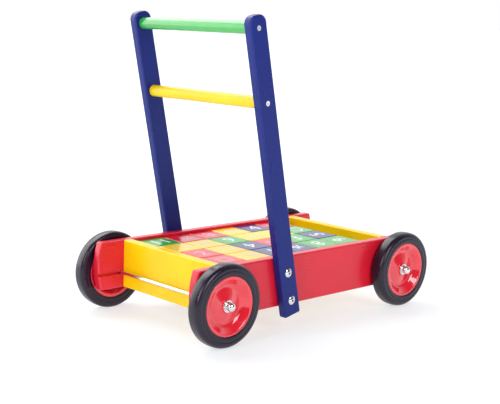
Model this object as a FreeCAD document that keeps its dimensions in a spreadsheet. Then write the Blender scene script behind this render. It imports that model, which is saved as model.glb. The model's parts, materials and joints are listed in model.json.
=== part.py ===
import FreeCAD, Part
import os
import Sketcher

# Wooden push-along walker: a tray of building blocks on four rubber-tyred wheels, with two
# uprights that lean back and carry a handle bar and a cross bar.
#
# Millimetres.  +X is the way it rolls, +Y is its left side and +Z is up.  The origin is on the
# floor, under the middle of the wheels.  The object is the same on its left and its right, so
# "out" always means away from the middle plane.

V = FreeCAD.Vector
LEFT = 1
RIGHT = -1
FRONT = 1
REAR = -1
SIDES = {"left": LEFT, "right": RIGHT}
ENDS = {"front": FRONT, "rear": REAR}

# Each driving size: its name, its value and what it is.
SIZES = [
    ("block_size", 49.0, "edge of one cube"),
    ("block_edge", 2.5, "rounding of a cube's edges"),
    ("block_gap", 0.5, "space between two cubes"),
    ("block_rows", 6, "cubes along the tray"),
    ("block_columns", 4, "cubes across the tray"),
    ("rear_gap", 11.5, "rear panel to the rear row of cubes"),
    ("front_gap", 31.5, "front row of cubes to the front panel"),
    ("left_gap", 0.5, "left panel to the cubes"),
    ("right_gap", 11.5, "right panel to the cubes"),
    ("block_stand_down", 4.5, "top of the cubes below the panels' top edge"),
    ("side_thickness", 15.0, "side panel"),
    ("end_thickness", 15.0, "end panel"),
    ("panel_edge", 2.5, "rounding of a side panel's edges"),
    ("end_edge", 2.0, "rounding of an end panel's top and bottom edges"),
    ("floor_thickness", 6.0, "tray floor"),
    ("floor_lip", 14.5, "tray floor above the panels' bottom edge"),
    ("floor_groove", 3.0, "depth of the groove that holds the floor"),
    ("floor_clearance", 0.1, "floor to the walls of its groove"),
    ("dowel_diameter", 8.0, "hidden corner dowel"),
    ("dowel_in_side", 10.0, "length of a dowel in the side panel"),
    ("dowel_in_end", 20.0, "length of a dowel in the end panel"),
    ("dowel_inset", 13.0, "dowel to the nearer edge of the panel, upper"),
    ("dowel_foot", 7.0, "dowel to the nearer edge of the panel, lower"),
    ("glue_gap", 0.05, "radial space round a glued dowel"),
    ("axle_rise", 24.0, "axle above the panels' bottom edge"),
    ("axle_offset", 5.0, "axle outside the end panel's outer face"),
    ("axle_diameter", 5.0, "steel axle rod"),
    ("axle_fit", 0.05, "radial space between a rod and what it passes through"),
    ("axle_groove", 5.0, "depth of the groove from a panel's end to the axle"),
    ("tail_reach", 42.3, "axle to the end of a side panel"),
    ("tail_bulge", 6.5, "how far a side panel's end curves out"),
    ("tyre_diameter", 120.0, "solid rubber tyre"),
    ("tyre_width", 22.5, "tyre, side to side"),
    ("tyre_shoulder", 6.0, "rounding between tread and side wall"),
    ("tyre_fit", 0.05, "space between tyre and rim"),
    ("wheel_gap", 4.0, "side panel to the rim"),
    ("rim_radius", 42.7, "outer radius of the rim's lips"),
    ("rim_width", 21.0, "rim, lip to lip"),
    ("rim_lip", 1.8, "thickness of a lip"),
    ("rim_seat_depth", 1.9, "lip above the tyre's seat"),
    ("rim_face", 3.6, "flat ring at the rim's outer edge"),
    ("rim_taper", 12.1, "slope of the outer dish, from the ring in to the web"),
    ("back_face", 5.2, "flat ring at the rim's inner edge"),
    ("back_taper", 4.5, "slope of the inner dish, from the ring in to the web"),
    ("web_dish", 10.5, "outer face of the web's foot below the rim's edge"),
    ("web_rise", 4.2, "cone of the web's outer face, from its foot up to the boss"),
    ("web_back", 7.0, "inner face of the web below the rim's inner edge"),
    ("hub_radius", 9.6, "boss round the axle"),
    ("hub_end", 4.8, "end of the boss below the rim's edge"),
    ("hub_edge", 1.0, "rounding of the rim's lips"),
    ("wheel_play", 0.3, "end play of a wheel on its axle"),
    ("inner_washer", 1.5, "thickness of the washer between panel and hub"),
    ("outer_washer", 1.2, "thickness of the washer between hub and cap"),
    ("washer_radius", 8.9, "washer"),
    ("cap_radius", 6.6, "domed cap on the end of an axle"),
    ("cap_skirt", 6.3, "straight part of the cap"),
    ("cap_dome", 4.5, "height of the cap's dome"),
    ("cap_cover", 3.3, "axle's end below the top of the cap"),
    ("upright_width", 31.0, "upright, across its broad face"),
    ("upright_thickness", 14.0, "upright"),
    ("upright_length", 443.0, "upright, end to end"),
    ("upright_corner", 12.0, "rounding of the upper corners"),
    ("upright_edge", 2.5, "rounding of the upright's edges"),
    ("lean", 12.0, "degrees that the uprights lean back"),
    ("foot_drop", 13.0, "foot of the upright below the panels' bottom edge"),
    ("foot_back", 53.5, "foot of the upright behind the middle of the tray"),
    ("bar_diameter", 18.0, "handle bar and cross bar"),
    ("bar_socket", 6.0, "depth of the socket that holds a bar's end"),
    ("bar_fit", 0.1, "space between a bar and its socket"),
    ("handle_from_top", 18.0, "handle bar to the top of the upright"),
    ("cross_from_top", 123.0, "cross bar to the top of the upright"),
    ("screw_head_radius", 3.75, "countersunk head of a bar screw"),
    ("screw_head_height", 2.2, "countersunk head of a bar screw"),
    ("screw_radius", 1.75, "shank of a bar screw"),
    ("screw_length", 32.0, "bar screw"),
    ("screw_sink", 0.3, "bar screw's head below the upright's face"),
    ("screw_socket", 1.0, "depth of the recess in a bar screw's head"),
    ("screw_fit", 0.05, "radial space round a bar screw"),
    ("bolt_low", 24.0, "lower bolt to the foot of the upright"),
    ("bolt_high", 67.3, "upper bolt to the foot of the upright"),
    ("bolt_radius", 3.0, "shank of an upright bolt"),
    ("bolt_fit", 0.1, "radial space round an upright bolt"),
    ("bolt_head_radius", 6.5, "head of an upright bolt"),
    ("bolt_head_rim", 0.9, "straight edge of the bolt's head"),
    ("bolt_head_dome", 1.9, "height of the bolt head's dome"),
    ("bolt_socket_radius", 2.3, "hexagon socket, to its corners"),
    ("bolt_socket_depth", 1.8, "hexagon socket"),
    ("bolt_tip_gap", 1.5, "tip of a bolt to the inner end of its insert"),
    ("insert_radius", 4.5, "threaded insert in the side panel"),
    ("insert_backing", 1.0, "wood between an insert and the floor's groove"),
]

DOC = FreeCAD.newDocument("Walker")
SHEET = DOC.addObject("Spreadsheet::Sheet", "Sizes")
for row, (alias, size, note) in enumerate(SIZES, 1):
    SHEET.set(f"A{row}", alias)
    SHEET.set(f"B{row}", str(size))
    SHEET.set(f"C{row}", note)
    SHEET.setAlias(f"B{row}", alias)
DOC.recompute()


def size(alias):
    """The expression that reads one cell of the sheet."""
    return f"Sizes.{alias}"


def value(expression):
    """An expression's value now, as a number."""
    return float(SHEET.evalExpression(str(expression)))


# Places that follow from the driving sizes, as expressions over the sheet.
PITCH = "(Sizes.block_size + Sizes.block_gap)"
TRAY_LENGTH = f"(Sizes.block_rows * {PITCH} + Sizes.rear_gap + Sizes.front_gap)"
TRAY_WIDTH = f"(Sizes.block_columns * {PITCH} + Sizes.left_gap + Sizes.right_gap)"
FLOOR_TOP = "(Sizes.floor_lip + Sizes.floor_thickness)"
PANEL_HEIGHT = f"({FLOOR_TOP} + Sizes.block_size + Sizes.block_stand_down)"
AXLE_HEIGHT = "(Sizes.tyre_diameter / 2)"
PANEL_BOTTOM = f"({AXLE_HEIGHT} - Sizes.axle_rise)"
AXLE_X = f"({TRAY_LENGTH} / 2 + Sizes.end_thickness + Sizes.axle_offset)"
AXLE_RADIUS = "(Sizes.axle_diameter / 2)"
AXLE_BORE = f"({AXLE_RADIUS} + Sizes.axle_fit)"
SIDE_FACE = f"({TRAY_WIDTH} / 2 + Sizes.side_thickness)"
UPRIGHT_FACE = f"({SIDE_FACE} + Sizes.upright_thickness)"
DOWEL_RADIUS = "(Sizes.dowel_diameter / 2)"
DOWEL_X = f"({TRAY_LENGTH} / 2 + Sizes.end_thickness / 2)"
DOWEL_HEIGHTS = ["Sizes.dowel_foot", f"({PANEL_HEIGHT} - Sizes.dowel_inset)"]
INSERT_LENGTH = "(Sizes.side_thickness - Sizes.floor_groove - Sizes.insert_backing)"
FOOT_Z = f"({PANEL_BOTTOM} - Sizes.foot_drop)"
BAR_RADIUS = "(Sizes.bar_diameter / 2)"
HANDLE_ALONG = "(Sizes.upright_length - Sizes.handle_from_top)"
CROSS_ALONG = "(Sizes.upright_length - Sizes.cross_from_top)"
BAR_HALF = f"({SIDE_FACE} + Sizes.bar_socket - Sizes.bar_fit)"
HUB_INNER = "(Sizes.inner_washer + Sizes.wheel_play)"
RIM_OUTER = "(Sizes.wheel_gap + Sizes.rim_width)"
HUB_OUTER = f"({RIM_OUTER} - Sizes.hub_end)"
WASHER_INNER = f"({HUB_OUTER} + Sizes.wheel_play)"
CAP_INNER = f"({WASHER_INNER} + Sizes.outer_washer)"
CAP_TOP = f"({CAP_INNER} + Sizes.cap_skirt + Sizes.cap_dome)"
AXLE_END = f"({CAP_TOP} - Sizes.cap_cover)"


def along_upright(distance):
    """The X and Z of a point that far up the middle line of the leaning uprights."""
    x = f"(-Sizes.foot_back - sin(Sizes.lean) * {distance})"
    z = f"({FOOT_Z} + cos(Sizes.lean) * {distance})"
    return x, z


def turned_out(side):
    """The turn that points a piece's own Z out of the left or the right side."""
    return FreeCAD.Rotation(V(1, 0, 0), -90 * side)


def place(thing, x, y, z, turn=FreeCAD.Rotation()):
    """Put an object at a place given by expressions."""
    thing.Placement = FreeCAD.Placement(V(value(x), value(y), value(z)), turn)
    thing.setExpression("Placement.Base.x", str(x))
    thing.setExpression("Placement.Base.y", str(y))
    thing.setExpression("Placement.Base.z", str(z))
    return thing


def new_body(label, x, y, z, turn=FreeCAD.Rotation()):
    """An empty body at its place."""
    body = DOC.addObject("PartDesign::Body", label)
    body.Label = label
    return place(body, x, y, z, turn)


def bind(thing, **sizes):
    """Bind properties of an object to expressions."""
    for name, expression in sizes.items():
        thing.setExpression(name, str(expression))
    return thing


def sketch_on(body, role, name):
    """A sketch on one of its body's own origin planes."""
    sketch = body.newObject("Sketcher::SketchObject", name)
    plane = [feature for feature in body.Origin.OriginFeatures if feature.Role == role][0]
    sketch.AttachmentSupport = [(plane, "")]
    sketch.MapMode = "FlatFace"
    return sketch


def outline(sketch, corners, arcs={}):
    """Draw a closed outline through corners given as pairs of expressions.

    arcs maps the number of a side, counted from the corner it leaves, to a point that the
    arc passes and to its radius."""
    points = [V(value(x), value(y), 0) for x, y in corners]
    count = len(corners)
    for side in range(count):
        start = points[side]
        finish = points[(side + 1) % count]
        if side in arcs:
            (middle_x, middle_y), _ = arcs[side]
            shape = Part.Arc(start, V(value(middle_x), value(middle_y), 0), finish)
        else:
            shape = Part.LineSegment(start, finish)
        sketch.addGeometry(shape, False)

    def end_at(side, point):
        """Which end of a side lies at a point: 1 is its start and 2 its finish."""
        near_start = sketch.getPoint(side, 1).distanceToPoint(point)
        near_finish = sketch.getPoint(side, 2).distanceToPoint(point)
        return 1 if near_start < near_finish else 2

    ends = [(end_at(side, points[side]), end_at((side - 1) % count, points[side]))
            for side in range(count)]
    for side, (leaving, arriving) in enumerate(ends):
        before = (side - 1) % count
        sketch.addConstraint(Sketcher.Constraint("Coincident", side, leaving, before, arriving))
        for kind, expression in zip(("DistanceX", "DistanceY"), corners[side]):
            distance = Sketcher.Constraint(kind, -1, 1, side, leaving, value(expression))
            number = sketch.addConstraint(distance)
            sketch.setExpression(f"Constraints[{number}]", str(expression))
    for side, (_, radius) in arcs.items():
        number = sketch.addConstraint(Sketcher.Constraint("Radius", side, value(radius)))
        sketch.setExpression(f"Constraints[{number}]", str(radius))
    return sketch


def turned(body, name, corners, arcs={}):
    """A piece turned about its own Z; its outline holds radius and height pairs."""
    sketch = outline(sketch_on(body, "XZ_Plane", name + "_outline"), corners, arcs)
    solid = body.newObject("PartDesign::Revolution", name)
    solid.Profile = sketch
    solid.ReferenceAxis = (sketch, ["V_Axis"])
    solid.Angle = 360
    return solid


def box(body, name, length, width, height, x, y, z, cut=False):
    """A block added to, or cut from, a body; x, y and z are its low corner."""
    kind = "PartDesign::SubtractiveBox" if cut else "PartDesign::AdditiveBox"
    solid = body.newObject(kind, name)
    bind(solid, Length=length, Width=width, Height=height)
    return place(solid, x, y, z)


def bore(body, name, radius, depth, x, y, z, turn=FreeCAD.Rotation()):
    """A round hole that starts at a point and runs along Z, or along Z after the turn."""
    hole = body.newObject("PartDesign::SubtractiveCylinder", name)
    bind(hole, Radius=radius, Height=depth)
    return place(hole, x, y, z, turn)


def rounded(body, base, radius, edges=None):
    """Round all the edges of a body so far, or the named ones."""
    fillet = body.newObject("PartDesign::Fillet", base.Name + "_rounding")
    fillet.Base = (base, edges or ["Edge1"])
    fillet.UseAllEdges = edges is None
    return bind(fillet, Radius=radius)


def straight_edges(solid, direction):
    """The names of a solid's straight edges that run along a direction."""
    found = []
    for number, edge in enumerate(solid.Shape.Edges, 1):
        if isinstance(edge.Curve, Part.Line) and abs(edge.Curve.Direction * direction) > 0.999:
            found.append(f"Edge{number}")
    return found


def round_edges(solid, rings):
    """The names of a turned solid's circular edges that have these radii and heights."""
    wanted = [(value(radius), value(height)) for radius, height in rings]
    found = []
    for number, edge in enumerate(solid.Shape.Edges, 1):
        if not isinstance(edge.Curve, Part.Circle):
            continue
        middle = edge.Curve.Center
        for radius, height in wanted:
            if abs(edge.Curve.Radius - radius) < 0.01 and abs(middle.z - height) < 0.01:
                found.append(f"Edge{number}")
    return found


def group(label, members):
    """Several like solids that share one node."""
    together = DOC.addObject("Part::Compound", label)
    together.Label = label
    together.Links = members
    return together


def side_panel(name, side):
    """A side of the tray.  It runs past both end panels, and its ends curve out gently.

    Its own origin is on its inner face, halfway along its bottom edge."""
    body = new_body(f"side_panel_{name}", 0, f"{side} * {TRAY_WIDTH} / 2", PANEL_BOTTOM)
    middle = f"({AXLE_X} + Sizes.tail_reach)"
    corner = f"({middle} - Sizes.tail_bulge)"
    bend = f"(({PANEL_HEIGHT} / 2)^2 + Sizes.tail_bulge^2) / (2 * Sizes.tail_bulge)"
    corners = [
        (f"-{corner}", 0),
        (corner, 0),
        (corner, PANEL_HEIGHT),
        (f"-{corner}", PANEL_HEIGHT),
    ]
    arcs = {
        1: ((middle, f"{PANEL_HEIGHT} / 2"), bend),
        3: ((f"-{middle}", f"{PANEL_HEIGHT} / 2"), bend),
    }
    sketch = outline(sketch_on(body, "XZ_Plane", f"side_outline_{name}"), corners, arcs)
    board = body.newObject("PartDesign::Pad", f"side_board_{name}")
    board.Profile = sketch
    board.Reversed = side == LEFT
    bind(board, Length=size("side_thickness"))
    rounded(body, board, size("panel_edge"))

    out = turned_out(side)
    groove_length = f"({TRAY_LENGTH} + 2 * Sizes.floor_groove)"
    groove_y = "0" if side == LEFT else "-Sizes.floor_groove"
    box(body, f"floor_groove_{name}", groove_length, size("floor_groove"),
        "(Sizes.floor_thickness + 2 * Sizes.floor_clearance)",
        f"-{groove_length} / 2", groove_y, "(Sizes.floor_lip - Sizes.floor_clearance)", cut=True)
    slot_y = "0" if side == LEFT else "-Sizes.axle_groove"
    slot_length = "(Sizes.tail_reach + Sizes.axle_diameter)"
    for end_name, end in ENDS.items():
        bore(body, f"axle_bore_{name}_{end_name}", AXLE_BORE, size("side_thickness"),
             f"{end} * {AXLE_X}", 0, size("axle_rise"), out)
        slot_x = AXLE_X if end == FRONT else f"(-{AXLE_X} - {slot_length})"
        box(body, f"axle_groove_{name}_{end_name}", slot_length, size("axle_groove"),
            f"(2 * {AXLE_BORE})", slot_x, slot_y, f"(Sizes.axle_rise - {AXLE_BORE})", cut=True)
        for number, height in enumerate(DOWEL_HEIGHTS, 1):
            bore(body, f"dowel_hole_{name}_{end_name}_{number}",
                 f"({DOWEL_RADIUS} + Sizes.glue_gap)", "(Sizes.dowel_in_side + Sizes.glue_gap)",
                 f"{end} * {DOWEL_X}", 0, height, out)
    for number, distance in enumerate((size("bolt_low"), size("bolt_high")), 1):
        x, z = along_upright(distance)
        bore(body, f"insert_hole_{name}_{number}", "(Sizes.insert_radius + Sizes.glue_gap)",
             f"({INSERT_LENGTH} + Sizes.glue_gap)", x,
             f"{side} * (Sizes.side_thickness - {INSERT_LENGTH} - Sizes.glue_gap)",
             f"({z} - {PANEL_BOTTOM})", out)
    return body


def end_panel(name, end):
    """The rear or front end of the tray, held between the side panels.

    Its own origin is at the middle of its bottom edge, on its inner face."""
    body = new_body(f"{name}_end_panel", f"{end} * {TRAY_LENGTH} / 2", 0, PANEL_BOTTOM)
    low_x = "0" if end == FRONT else "-Sizes.end_thickness"
    board = box(body, f"{name}_board", size("end_thickness"), TRAY_WIDTH, PANEL_HEIGHT,
                low_x, f"-{TRAY_WIDTH} / 2", 0)
    DOC.recompute()
    rounded(body, board, size("end_edge"), straight_edges(board, V(0, 1, 0)))
    groove_x = "0" if end == FRONT else "-Sizes.floor_groove"
    box(body, f"{name}_floor_groove", size("floor_groove"), TRAY_WIDTH,
        "(Sizes.floor_thickness + 2 * Sizes.floor_clearance)",
        groove_x, f"-{TRAY_WIDTH} / 2", "(Sizes.floor_lip - Sizes.floor_clearance)", cut=True)
    depth = "(Sizes.dowel_in_end + Sizes.glue_gap)"
    for side_name, side in SIDES.items():
        for number, height in enumerate(DOWEL_HEIGHTS, 1):
            bore(body, f"{name}_dowel_hole_{side_name}_{number}",
                 f"({DOWEL_RADIUS} + Sizes.glue_gap)", depth, f"{end} * Sizes.end_thickness / 2",
                 f"{side} * ({TRAY_WIDTH} / 2 - {depth})", height, turned_out(side))
    return body


def tray_floor():
    """The thin floor that the cubes stand on, held in grooves all round."""
    body = new_body("tray_floor", 0, 0, f"({PANEL_BOTTOM} + Sizes.floor_lip)")
    overlap = "2 * (Sizes.floor_groove - Sizes.floor_clearance)"
    length = f"({TRAY_LENGTH} + {overlap})"
    width = f"({TRAY_WIDTH} + {overlap})"
    box(body, "floor_board", length, width, size("floor_thickness"),
        f"-{length} / 2", f"-{width} / 2", 0)
    return body


def corner_dowels():
    """Glued dowels that hold each end panel to the side panels, two at each corner."""
    dowels = []
    for end_name, end in ENDS.items():
        for side_name, side in SIDES.items():
            for number, height in enumerate(DOWEL_HEIGHTS, 1):
                dowel = DOC.addObject("Part::Cylinder", f"dowel_{end_name}_{side_name}_{number}")
                bind(dowel, Radius=DOWEL_RADIUS, Height="Sizes.dowel_in_end + Sizes.dowel_in_side")
                place(dowel, f"{end} * {DOWEL_X}",
                      f"{side} * ({TRAY_WIDTH} / 2 - Sizes.dowel_in_end)",
                      f"({PANEL_BOTTOM} + {height})", turned_out(side))
                dowels.append(dowel)
    return group("corner_dowels", dowels)


def upright(name, side):
    """A flat upright, bolted to the outside of its side panel, with its upper corners round.

    Its own origin is at the middle of its foot, on its inner face, and its own Z runs up it."""
    body = new_body(f"upright_{name}", "-Sizes.foot_back", f"{side} * {SIDE_FACE}", FOOT_Z,
                    FreeCAD.Rotation(V(0, -1, 0), value(size("lean"))))
    body.setExpression("Placement.Rotation.Angle", "Sizes.lean")
    half = "(Sizes.upright_width / 2)"
    top = "Sizes.upright_length"
    shoulder = "(Sizes.upright_length - Sizes.upright_corner)"
    flat = f"({half} - Sizes.upright_corner)"
    middle_x = f"({flat} + Sizes.upright_corner * sin(45))"
    middle_z = f"({shoulder} + Sizes.upright_corner * sin(45))"
    corners = [
        (f"-{half}", 0),
        (half, 0),
        (half, shoulder),
        (flat, top),
        (f"-{flat}", top),
        (f"-{half}", shoulder),
    ]
    arcs = {
        2: ((middle_x, middle_z), size("upright_corner")),
        4: ((f"-{middle_x}", middle_z), size("upright_corner")),
    }
    sketch = outline(sketch_on(body, "XZ_Plane", f"upright_outline_{name}"), corners, arcs)
    board = body.newObject("PartDesign::Pad", f"upright_board_{name}")
    board.Profile = sketch
    board.Reversed = side == LEFT
    bind(board, Length=size("upright_thickness"))
    rounded(body, board, size("upright_edge"))

    out = turned_out(side)
    screw_top = "(Sizes.upright_thickness - Sizes.screw_sink)"
    for bar, distance in (("handle", HANDLE_ALONG), ("cross", CROSS_ALONG)):
        bore(body, f"{bar}_socket_{name}", f"({BAR_RADIUS} + Sizes.bar_fit)",
             size("bar_socket"), 0, 0, distance, out)
        bore(body, f"{bar}_screw_hole_{name}", "(Sizes.screw_radius + Sizes.screw_fit)",
             size("upright_thickness"), 0, 0, distance, out)
        sink = body.newObject("PartDesign::SubtractiveCone", f"{bar}_countersink_{name}")
        bind(sink, Radius1="Sizes.screw_radius + Sizes.screw_fit",
             Radius2="Sizes.screw_head_radius + Sizes.screw_fit",
             Height=size("screw_head_height"))
        place(sink, 0, f"{side} * ({screw_top} - Sizes.screw_head_height)", distance, out)
        bore(body, f"{bar}_screw_mouth_{name}", "(Sizes.screw_head_radius + Sizes.screw_fit)",
             size("screw_sink"), 0, f"{side} * {screw_top}", distance, out)
    for number, distance in enumerate((size("bolt_low"), size("bolt_high")), 1):
        bore(body, f"bolt_hole_{name}_{number}", "(Sizes.bolt_radius + Sizes.bolt_fit)",
             size("upright_thickness"), 0, 0, distance, out)
    return body


def bar(label, distance):
    """A round wooden bar between the uprights, its ends held in their sockets."""
    x, z = along_upright(distance)
    body = new_body(label, x, 0, z, turned_out(LEFT))
    rod = body.newObject("PartDesign::AdditiveCylinder", f"{label}_rod")
    bind(rod, Radius=BAR_RADIUS, Height=f"2 * {BAR_HALF}")
    place(rod, 0, 0, f"-{BAR_HALF}")
    pilot = "(Sizes.screw_radius + Sizes.screw_fit)"
    depth = f"({BAR_HALF} - ({UPRIGHT_FACE} - Sizes.screw_length) + Sizes.screw_fit)"
    bore(body, f"{label}_pilot_left", pilot, depth, 0, 0, f"({BAR_HALF} - {depth})")
    bore(body, f"{label}_pilot_right", pilot, depth, 0, 0, f"-{BAR_HALF}")
    return body


def bar_screw(name, side, distance):
    """A countersunk screw through an upright into the end of a bar; its own Z points out."""
    x, z = along_upright(distance)
    body = new_body(name, x, f"{side} * {UPRIGHT_FACE}", z, turned_out(side))
    head = "(-Sizes.screw_sink)"
    neck = f"({head} - Sizes.screw_head_height)"
    recess = "(Sizes.screw_radius * 0.7)"
    turned(body, f"{name}_shape", [
        (0, "-Sizes.screw_length"),
        (size("screw_radius"), "(Sizes.screw_radius - Sizes.screw_length)"),
        (size("screw_radius"), neck),
        (size("screw_head_radius"), head),
        (recess, head),
        (recess, f"({head} - Sizes.screw_socket)"),
        (0, f"({head} - Sizes.screw_socket)"),
    ])
    return body


def upright_bolt(name, side, distance):
    """A dome-headed bolt with a hexagon socket; its own Z points out."""
    x, z = along_upright(distance)
    body = new_body(name, x, f"{side} * {UPRIGHT_FACE}", z, turned_out(side))
    tip = f"(-Sizes.upright_thickness - {INSERT_LENGTH} + Sizes.bolt_tip_gap)"
    top = "(Sizes.bolt_head_rim + Sizes.bolt_head_dome)"
    bend = "(Sizes.bolt_head_radius^2 + Sizes.bolt_head_dome^2) / (2 * Sizes.bolt_head_dome)"
    half_angle = f"(asin(Sizes.bolt_head_radius / ({bend})) / 2)"
    corners = [
        (0, tip),
        (size("bolt_radius"), tip),
        (size("bolt_radius"), 0),
        (size("bolt_head_radius"), 0),
        (size("bolt_head_radius"), size("bolt_head_rim")),
        (0, top),
    ]
    middle = (f"({bend}) * sin({half_angle})", f"{top} - ({bend}) * (1 - cos({half_angle}))")
    turned(body, f"{name}_shape", corners, {4: (middle, bend)})
    sketch = sketch_on(body, "XY_Plane", f"{name}_socket_outline")
    sketch.setExpression("AttachmentOffset.Base.z", top)
    reach = "Sizes.bolt_socket_radius"
    outline(sketch, [(f"{reach} * cos({angle})", f"{reach} * sin({angle})")
                     for angle in range(0, 360, 60)])
    socket = body.newObject("PartDesign::Pocket", f"{name}_socket")
    socket.Profile = sketch
    bind(socket, Length=size("bolt_socket_depth"))
    return body


def threaded_insert(name, side, distance):
    """A metal sleeve, flush with the side panel's outer face, that a bolt screws into."""
    x, z = along_upright(distance)
    body = new_body(name, x, f"{side} * ({SIDE_FACE} - {INSERT_LENGTH})", z,
                    turned_out(side))
    turned(body, f"{name}_shape", [
        ("(Sizes.bolt_radius + Sizes.bolt_fit)", 0),
        (size("insert_radius"), 0),
        (size("insert_radius"), INSERT_LENGTH),
        ("(Sizes.bolt_radius + Sizes.bolt_fit)", INSERT_LENGTH),
    ])
    return body


def axle(name, end):
    """The steel rod that carries the two front or the two rear wheels."""
    rod = DOC.addObject("Part::Cylinder", f"{name}_axle")
    rod.Label = f"{name}_axle"
    bind(rod, Radius=AXLE_RADIUS, Height=f"2 * ({SIDE_FACE} + {AXLE_END})")
    return place(rod, f"{end} * {AXLE_X}", f"-({SIDE_FACE} + {AXLE_END})", AXLE_HEIGHT,
                 turned_out(LEFT))


def wheel_body(label, end, side):
    """An empty body centred on an axle, its own Z pointing out from the side panel's face."""
    return new_body(label, f"{end} * {AXLE_X}", f"{side} * {SIDE_FACE}", AXLE_HEIGHT,
                    turned_out(side))


def hub(label, end, side):
    """A dished wheel centre: a boss, a web that rises to it as a shallow cone, and a rim with
    two lips that hold the tyre."""
    body = wheel_body(label, end, side)
    inner = "Sizes.wheel_gap"
    rim = "Sizes.rim_radius"
    seat = "(Sizes.rim_radius - Sizes.rim_seat_depth)"
    ring = "(Sizes.rim_radius - Sizes.rim_face)"
    well = "(Sizes.rim_radius - Sizes.rim_face - Sizes.rim_taper)"
    back_ring = "(Sizes.rim_radius - Sizes.back_face)"
    back_well = "(Sizes.rim_radius - Sizes.back_face - Sizes.back_taper)"
    web_in = "(Sizes.wheel_gap + Sizes.web_back)"
    web_out = f"({RIM_OUTER} - Sizes.web_dish)"
    solid = turned(body, f"{label}_shape", [
        (AXLE_BORE, HUB_INNER),
        (size("hub_radius"), HUB_INNER),
        (size("hub_radius"), web_in),
        (back_well, web_in),
        (back_ring, inner),
        (rim, inner),
        (rim, f"({inner} + Sizes.rim_lip)"),
        (seat, f"({inner} + Sizes.rim_lip)"),
        (seat, f"({RIM_OUTER} - Sizes.rim_lip)"),
        (rim, f"({RIM_OUTER} - Sizes.rim_lip)"),
        (rim, RIM_OUTER),
        (ring, RIM_OUTER),
        (well, web_out),
        (size("hub_radius"), f"({web_out} + Sizes.web_rise)"),
        (size("hub_radius"), HUB_OUTER),
        (AXLE_BORE, HUB_OUTER),
    ])
    DOC.recompute()
    lips = round_edges(solid, [(ring, RIM_OUTER), (rim, RIM_OUTER), (back_ring, inner),
                               (size("hub_radius"), HUB_OUTER)])
    rounded(body, solid, size("hub_edge"), lips)
    return body


def tyre(label, end, side):
    """A solid rubber tyre with round shoulders, seated between the rim's lips."""
    body = wheel_body(label, end, side)
    inner = f"({RIM_OUTER} + Sizes.wheel_gap - Sizes.tyre_width) / 2"
    outer = f"({RIM_OUTER} + Sizes.wheel_gap + Sizes.tyre_width) / 2"
    tread = "(Sizes.tyre_diameter / 2)"
    wall = f"({tread} - Sizes.tyre_shoulder)"
    seat = "(Sizes.rim_radius - Sizes.rim_seat_depth + Sizes.tyre_fit)"
    lip = "(Sizes.rim_radius + Sizes.tyre_fit)"
    bead_in = "(Sizes.wheel_gap + Sizes.rim_lip + Sizes.tyre_fit)"
    bead_out = f"({RIM_OUTER} - Sizes.rim_lip - Sizes.tyre_fit)"
    bulge = "(Sizes.tyre_shoulder * (1 - sin(45)))"
    corners = [
        (seat, bead_in),
        (lip, bead_in),
        (lip, inner),
        (wall, inner),
        (tread, f"({inner} + Sizes.tyre_shoulder)"),
        (tread, f"({outer} - Sizes.tyre_shoulder)"),
        (wall, outer),
        (lip, outer),
        (lip, bead_out),
        (seat, bead_out),
    ]
    arcs = {
        3: ((f"({tread} - {bulge})", f"({inner} + {bulge})"), size("tyre_shoulder")),
        5: ((f"({tread} - {bulge})", f"({outer} - {bulge})"), size("tyre_shoulder")),
    }
    turned(body, f"{label}_shape", corners, arcs)
    return body


def washer(label, end, side, start, thickness):
    """A flat washer on an axle."""
    body = wheel_body(label, end, side)
    turned(body, f"{label}_shape", [
        (AXLE_BORE, start),
        (size("washer_radius"), start),
        (size("washer_radius"), f"({start} + {thickness})"),
        (AXLE_BORE, f"({start} + {thickness})"),
    ])
    return body


def axle_cap(label, end, side):
    """A domed metal cap pressed on the end of an axle to keep the wheel on."""
    body = wheel_body(label, end, side)
    skirt_top = f"({CAP_INNER} + Sizes.cap_skirt)"
    socket = f"({AXLE_END} + Sizes.axle_fit)"
    bend = "(Sizes.cap_radius^2 + Sizes.cap_dome^2) / (2 * Sizes.cap_dome)"
    half_angle = f"(asin(Sizes.cap_radius / ({bend})) / 2)"
    middle = (f"({bend}) * sin({half_angle})", f"{CAP_TOP} - ({bend}) * (1 - cos({half_angle}))")
    corners = [
        (0, socket),
        (AXLE_BORE, socket),
        (AXLE_BORE, CAP_INNER),
        (size("cap_radius"), CAP_INNER),
        (size("cap_radius"), skirt_top),
        (0, CAP_TOP),
    ]
    turned(body, f"{label}_shape", corners, {4: (middle, bend)})
    return body


def block(row, column):
    """One building cube.  Rows count from the rear and columns from the left."""
    x = f"(-{TRAY_LENGTH} / 2 + Sizes.rear_gap + {row - 1} * {PITCH})"
    y = f"({TRAY_WIDTH} / 2 - Sizes.left_gap - {column - 1} * {PITCH} - Sizes.block_size)"
    label = f"block_row{row}_column{column}"
    body = new_body(label, x, y, f"({PANEL_BOTTOM} + {FLOOR_TOP})")
    edge = size("block_size")
    cube = box(body, f"{label}_cube", edge, edge, edge, 0, 0, 0)
    rounded(body, cube, size("block_edge"))
    return body


def build_tray():
    """The tray: two sides, two ends, the floor and the dowels that hold them."""
    pieces = [side_panel(name, side) for name, side in SIDES.items()]
    pieces += [end_panel(name, end) for name, end in ENDS.items()]
    return pieces + [tray_floor(), corner_dowels()]


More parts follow.
